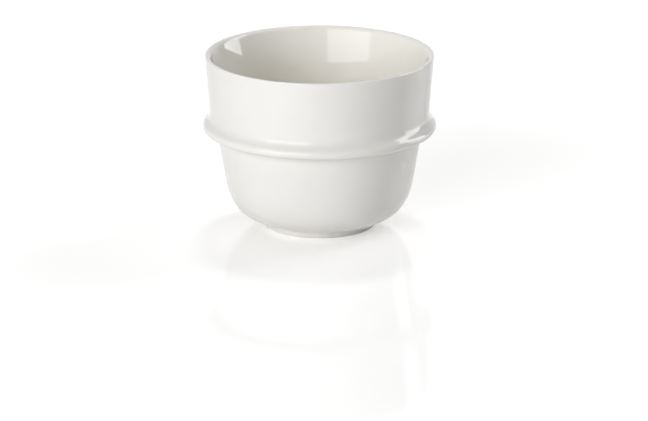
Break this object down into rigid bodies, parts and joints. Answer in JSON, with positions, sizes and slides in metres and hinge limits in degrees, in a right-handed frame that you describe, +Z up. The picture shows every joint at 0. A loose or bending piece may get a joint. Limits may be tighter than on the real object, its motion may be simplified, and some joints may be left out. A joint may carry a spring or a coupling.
{
  "type": "porcelain cup",
  "caption": "Handleless white porcelain cup with a slightly tapered upper wall, a raised bead round the middle over a level ledge, a rounded bowl and a low foot ring.",
  "frame": {"origin": "on the cup's axis, in the plane of the table under the standing ring", "axes": "+Z up along the cup's axis, from the foot to the lip; X and Y lie in the table's plane and are free, because the cup is round"},
  "size_m": [0.088, 0.088, 0.066],
  "materials": {
    "glaze": "glossy, faintly warm white glaze",
    "porcelain": "matte fired clay, bare on the standing ring"
  },
  "bodies": {
    "root": {"cup_body": "porcelain", "bead_ring": "porcelain", "foot_ring": "porcelain", "inside_glaze": "glaze", "outside_glaze": "glaze", "base_glaze": "glaze"}
  },
  "joints": []
}
